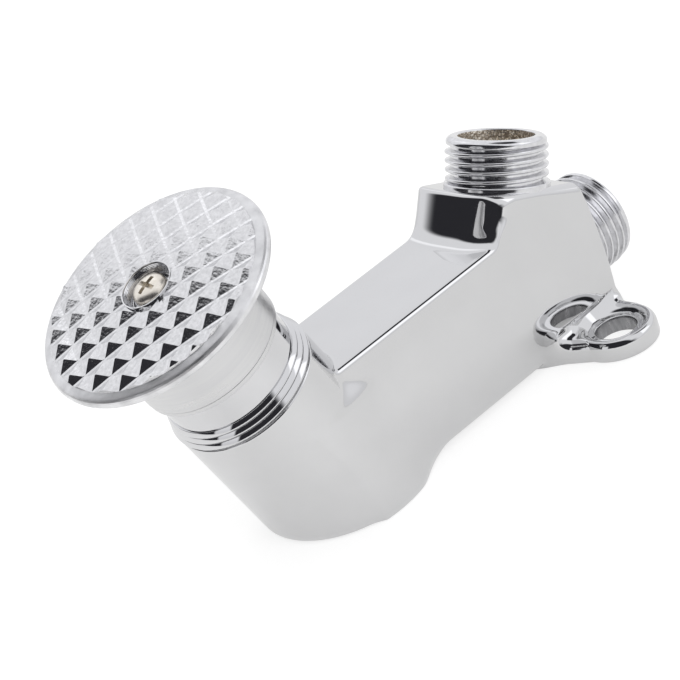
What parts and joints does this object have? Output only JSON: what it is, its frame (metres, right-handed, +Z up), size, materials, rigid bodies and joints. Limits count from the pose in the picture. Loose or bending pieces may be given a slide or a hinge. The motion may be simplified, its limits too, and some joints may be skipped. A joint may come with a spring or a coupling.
{
  "type": "foot pedal valve",
  "caption": "Floor-standing self-closing tap: a pressed tread plate on a sprung stem opens a poppet in a chrome-plated casting with threaded inlet and outlet spigots.",
  "frame": {"origin": "on the floor plane, midway between the two lug screw holes", "axes": "+Z up, along the lug screws; +X from the screw holes towards the pedal, along the arm; +Y across the arm"},
  "size_m": [0.1325, 0.0548, 0.0725],
  "materials": {
    "body_chrome": "smooth mirror chrome plate on cast brass, with soft cast blends",
    "collar_chrome": "turned and polished chrome plate",
    "satin_cap": "satin chrome plate, finely turned",
    "tread_chrome": "chrome plate over a cast tread, slightly pitted",
    "nickel_screw": "warm nickel plate",
    "turned_brass": "bare turned brass",
    "spring_steel": "drawn stainless wire",
    "steel_plate": "zinc plated steel",
    "seal_rubber": "black nitrile rubber",
    "bush_plastic": "natural acetal"
  },
  "bodies": {
    "housing": {"valve_body": "body_chrome", "seat_gasket": "seal_rubber", "seat_ring": "turned_brass", "bonnet_gasket": "steel_plate", "bonnet": "collar_chrome", "guide_bush": "bush_plastic", "stem_seal_lower": "seal_rubber", "seal_spacer": "bush_plastic", "stem_seal_upper": "seal_rubber", "spring_seat": "steel_plate", "return_spring": "spring_steel"},
    "spring_follower": {"thrust_washer": "steel_plate"},
    "pedal": {"spindle": "turned_brass", "stem_circlip": "spring_steel", "valve_washer": "seal_rubber", "valve_holder": "turned_brass", "washer_screw": "turned_brass", "push_cap": "satin_cap", "pedal_plate": "tread_chrome", "lock_washer": "steel_plate", "pedal_screw": "nickel_screw"}
  },
  "joints": [
    {"name": "pedal_press", "type": "slide", "parent": "housing", "child": "spring_follower", "axis": [-0.3827, 0, -0.9239], "range_m": [0, 0.006], "stiffness_N_per_m": 1600, "springref_m": -0.01, "deforming": ["return_spring"]},
    {"name": "pedal_turn", "type": "hinge", "parent": "spring_follower", "child": "pedal", "pos_m": [0.0777, 0, 0.0353], "axis": [0.3827, 0, 0.9239], "continuous": true}
  ]
}
